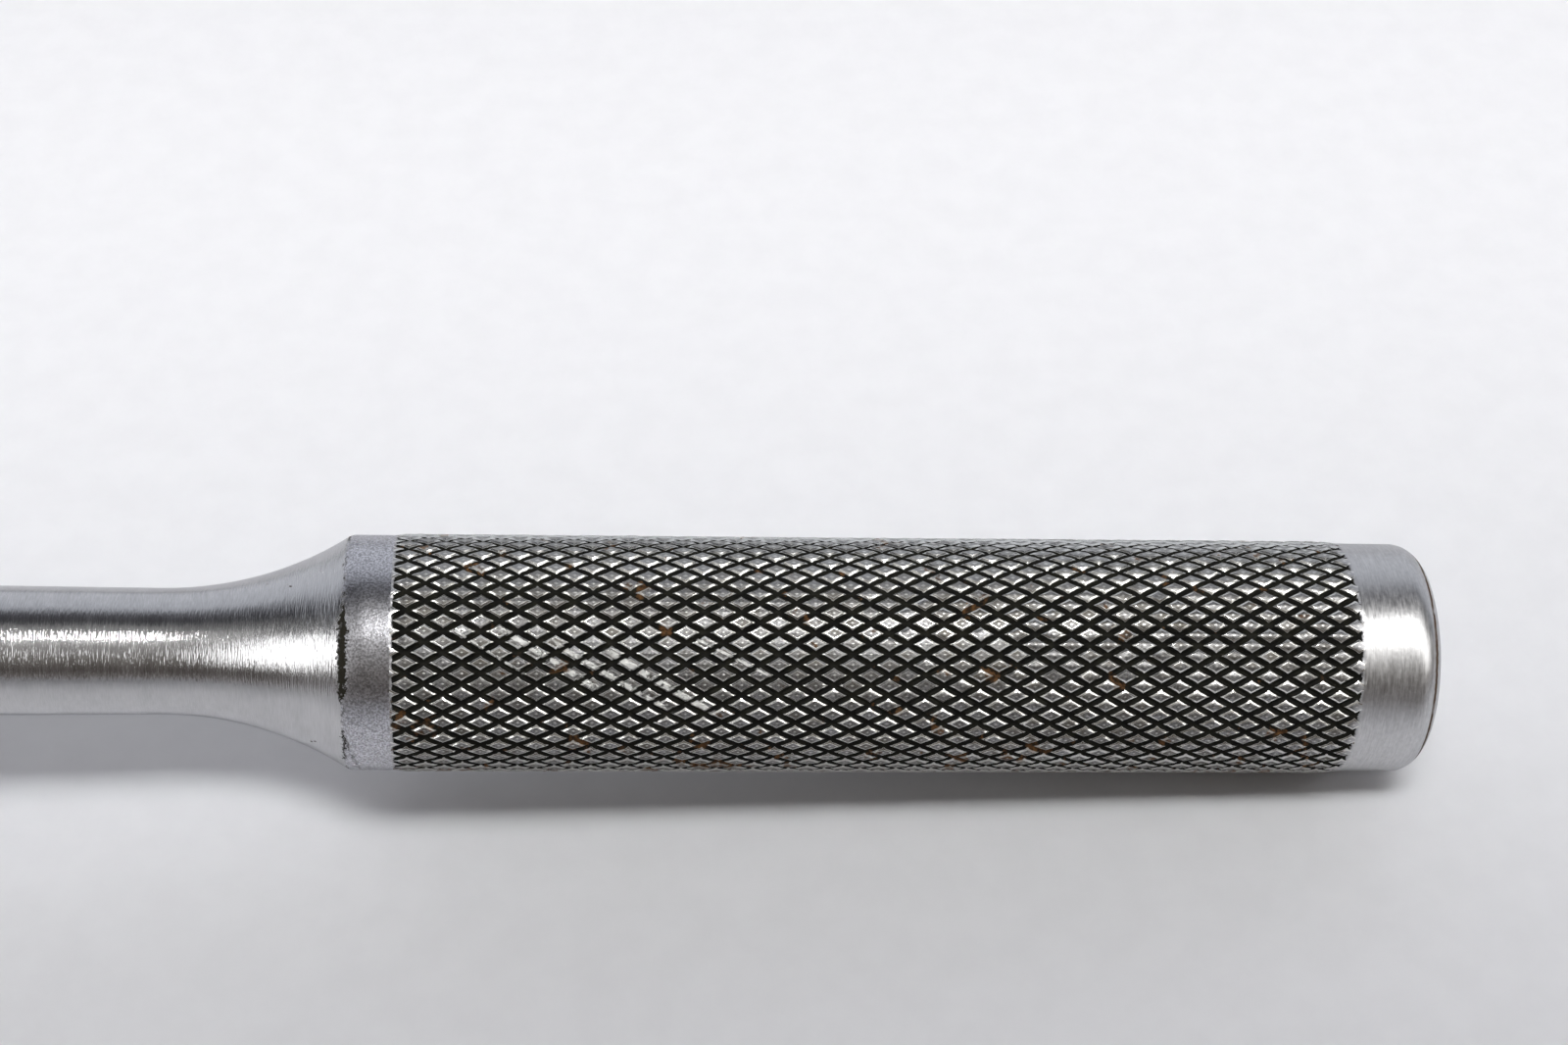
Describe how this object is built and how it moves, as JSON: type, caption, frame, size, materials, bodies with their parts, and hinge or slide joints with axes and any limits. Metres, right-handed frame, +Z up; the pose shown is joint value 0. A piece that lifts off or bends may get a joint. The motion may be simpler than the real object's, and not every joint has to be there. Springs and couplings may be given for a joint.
{
  "type": "breaker bar",
  "caption": "Flex-handle breaker bar: forged bar with a diamond-knurled grip, tapered shank and fork, and a swinging drive head with a square drive and a sprung socket-retaining ball.",
  "frame": {"origin": "centre of the drive square's end face, which is the plane that the tool stands on", "axes": "+Z up along the drive square's axis from its end towards the pivot; +X from the head towards the grip's end, along the bar seen from above; +Y along the pivot pin"},
  "size_m": [0.3636, 0.025, 0.049],
  "materials": {
    "bar_chrome": "satin chrome plate over ground steel, fine marks round the bar, small dark pits and grime in the knurling",
    "head_chrome": "satin chrome plate, worn bright on the square",
    "pin_steel": "ground end faces with turning rings",
    "screw_steel": "blackened, slotted",
    "ball_steel": "polished bearing ball",
    "spring_steel": "drawn spring wire"
  },
  "bodies": {
    "handle": {"handle_bar": "bar_chrome", "pivot_pin": "pin_steel", "pivot_lock_screw": "screw_steel", "friction_spring": "spring_steel"},
    "head": {"drive_head": "head_chrome", "drive_ball_spring": "spring_steel"},
    "friction_ball_body": {"friction_ball": "ball_steel"},
    "drive_ball_body": {"drive_ball": "ball_steel"}
  },
  "joints": [
    {"name": "head_swing", "type": "hinge", "parent": "handle", "child": "head", "pos_m": [0, 0, 0.036], "axis": [0, 1, 0], "range_deg": [-5.9, 194.1]},
    {"name": "friction_ball_press", "type": "slide", "parent": "handle", "child": "friction_ball_body", "axis": [0.9974, 0, -0.0721], "range_m": [0, 0.0008], "stiffness_N_per_m": 1500, "springref_m": -0.002, "deforming": ["friction_spring"]},
    {"name": "drive_ball_press", "type": "slide", "parent": "head", "child": "drive_ball_body", "axis": [1, 0, 0], "range_m": [0, 0.0009], "stiffness_N_per_m": 1500, "springref_m": -0.002, "deforming": ["drive_ball_spring"]}
  ]
}
